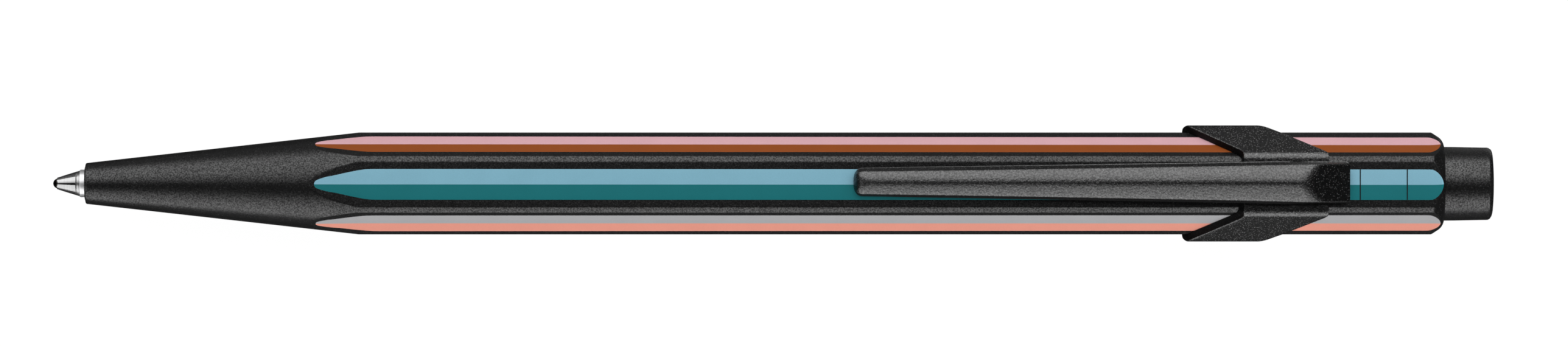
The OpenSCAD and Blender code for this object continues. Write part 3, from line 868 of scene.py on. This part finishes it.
# ---------------------------------------------------------------- floor
def floor_material():
    m = bpy.data.materials.new("pale_floor")
    m.use_nodes = True
    t = m.node_tree
    t.nodes.clear()
    out = t.nodes.new("ShaderNodeOutputMaterial")
    add = t.nodes.new("ShaderNodeAddShader")
    em = t.nodes.new("ShaderNodeEmission")
    em.inputs["Color"].default_value = (1, 1, 1, 1)
    em.inputs["Strength"].default_value = 0.97
    di = t.nodes.new("ShaderNodeBsdfDiffuse")
    di.inputs["Color"].default_value = (0.09, 0.09, 0.09, 1)
    geo = t.nodes.new("ShaderNodeNewGeometry")
    clear = t.nodes.new("ShaderNodeBsdfTransparent")
    pick = t.nodes.new("ShaderNodeMixShader")
    t.links.new(em.outputs[0], add.inputs[0])
    t.links.new(di.outputs[0], add.inputs[1])
    t.links.new(geo.outputs["Backfacing"], pick.inputs["Fac"])
    t.links.new(add.outputs[0], pick.inputs[1])
    t.links.new(clear.outputs[0], pick.inputs[2])
    t.links.new(pick.outputs[0], out.inputs["Surface"])
    return m


floor_mesh = bpy.data.meshes.new("floor")
S = 3.0
floor_mesh.from_pydata([(-S, -S, 0), (S, -S, 0), (S, S, 0), (-S, S, 0)], [], [(0, 1, 2, 3)])
floor_mesh.materials.append(floor_material())
floor = bpy.data.objects.new("floor", floor_mesh)
floor.location = (0, 0, -0.00006)
scene.collection.objects.link(floor)
floor.visible_glossy = False
floor.visible_diffuse = False
floor.visible_shadow = False
floor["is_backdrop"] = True

# ---------------------------------------------------------------- lights: long soft strips beside the pen
AXIS_Z = 0.004
STRIPS = [
    # angle from straight up, towards +Y negative, from and to; radiance
    (-8, -20, 0.885), (-20, -35, 1.76), (-35, -57, 2.21), (-57, -80, 2.13), (-80, -93, 0.69), (-93, -128, 0.12),
    (30, 42, 0.39), (42, 55, 1.33), (55, 70, 2.06), (70, 84, 2.58), (84, 97, 2.30), (97, 128, 0.10),
]
UNDERSIDE = [(140, 180, 0.90), (180, 220, 0.90)]
# shares of some strips' strength over their front part and over their rear part
FRONT, FRONT_SHARE = -0.12, {55: 0.90, 70: 0.80}
REAR_X, REAR_SHARE = 0.06, {70: 0.68, 84: 0.68}
# the steep metal tip mirrors the strips' front end
TIP_END, TIP_SHARE = -0.39, {-80: 0.12, -93: 3.2, 30: 4.6, 42: 1.4, 84: 0.5}


def strip(name, a, b, radiance, x0, x1, dist, glossy):
    """A long soft light from angle a to b round the pen, seen either in reflections or by matt surfaces."""
    mid = math.radians((a + b) / 2)
    data = bpy.data.lights.new(name, "AREA")
    data.shape = "RECTANGLE"
    data.size = x1 - x0
    data.size_y = 2 * dist * math.tan(math.radians(abs(b - a)) / 2)
    data.energy = radiance * math.pi * data.size * data.size_y
    obj = bpy.data.objects.new(name, data)
    scene.collection.objects.link(obj)
    obj.location = ((x0 + x1) / 2, -dist * math.sin(mid), AXIS_Z + dist * math.cos(mid))
    obj.rotation_euler = (mid, 0, 0)
    obj.visible_camera = False
    obj.visible_glossy = glossy
    obj.visible_diffuse = not glossy
    return obj


for i, (a, b, radiance) in enumerate(STRIPS):
    cuts = [-0.62] + [x for x, table_ in ((TIP_END, TIP_SHARE), (FRONT, FRONT_SHARE), (REAR_X, REAR_SHARE)) if a in table_] + [0.45]
    for k, (x0, x1) in enumerate(zip(cuts, cuts[1:])):
        share = 1.0
        if x1 == TIP_END:
            share = TIP_SHARE[a]
        elif x1 == FRONT:
            share = FRONT_SHARE[a]
        elif x0 == REAR_X:
            share = REAR_SHARE[a]
        strip(f"gloss_{i}_{k}", a, b, radiance * share, x0, x1, 0.60, True)
strip("gloss_tip", 19, 30, 1.9, -0.62, TIP_END, 0.60, True)
strip("gloss_button", -128, -160, 0.25, 0.11, 0.45, 0.60, True)
for i, (a, b, radiance) in enumerate(STRIPS + UNDERSIDE):
    # the soft light falls from behind the button's end, so the clip's front edges shade what is before them
    strip(f"soft_{i}", a, b, radiance, -0.83, 5.0, 2.0, False)

world = bpy.data.worlds.new("studio")
scene.world = world
world.use_nodes = True
t = world.node_tree
t.nodes.clear()
wout = t.nodes.new("ShaderNodeOutputWorld")
pale = t.nodes.new("ShaderNodeBackground")
pale.inputs["Color"].default_value = (0.95, 0.95, 0.955, 1)
dim = t.nodes.new("ShaderNodeBackground")
dim.inputs["Color"].default_value = (1, 1, 1, 1)
dim.inputs["Strength"].default_value = 0.035
path = t.nodes.new("ShaderNodeLightPath")
both = t.nodes.new("ShaderNodeMixShader")
t.links.new(path.outputs["Is Camera Ray"], both.inputs["Fac"])
t.links.new(dim.outputs[0], both.inputs[1])
t.links.new(pale.outputs[0], both.inputs[2])
t.links.new(both.outputs[0], wout.inputs["Surface"])

scene.view_settings.view_transform = "Standard"
scene.view_settings.look = "None"
scene.view_settings.exposure = 0.0
scene.view_settings.gamma = 1.0

# ---------------------------------------------------------------- camera
cam_data = bpy.data.cameras.new("camera")
cam_data.sensor_fit = "HORIZONTAL"
cam_data.sensor_width = 36.0
cam_data.lens = 207.0
cam_data.clip_start = 0.01
cam_data.clip_end = 20.0
cam = bpy.data.objects.new("camera", cam_data)
scene.collection.objects.link(cam)
tilt = math.radians(1.0)
D = 0.79
cam.location = (0.0010, 0.000917 * math.cos(tilt) + D * math.sin(tilt), AXIS_Z - 0.000917 * math.sin(tilt) + D * math.cos(tilt))
cam.rotation_euler = (-tilt, 0, 0)
scene.camera = cam

# ---------------------------------------------------------------- sizes, then the end
bpy.context.view_layer.update()


def plain(box):
    return [[float(c) for c in corner] for corner in box]


{"cad": plain(cad_box), "visual": plain(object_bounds())}
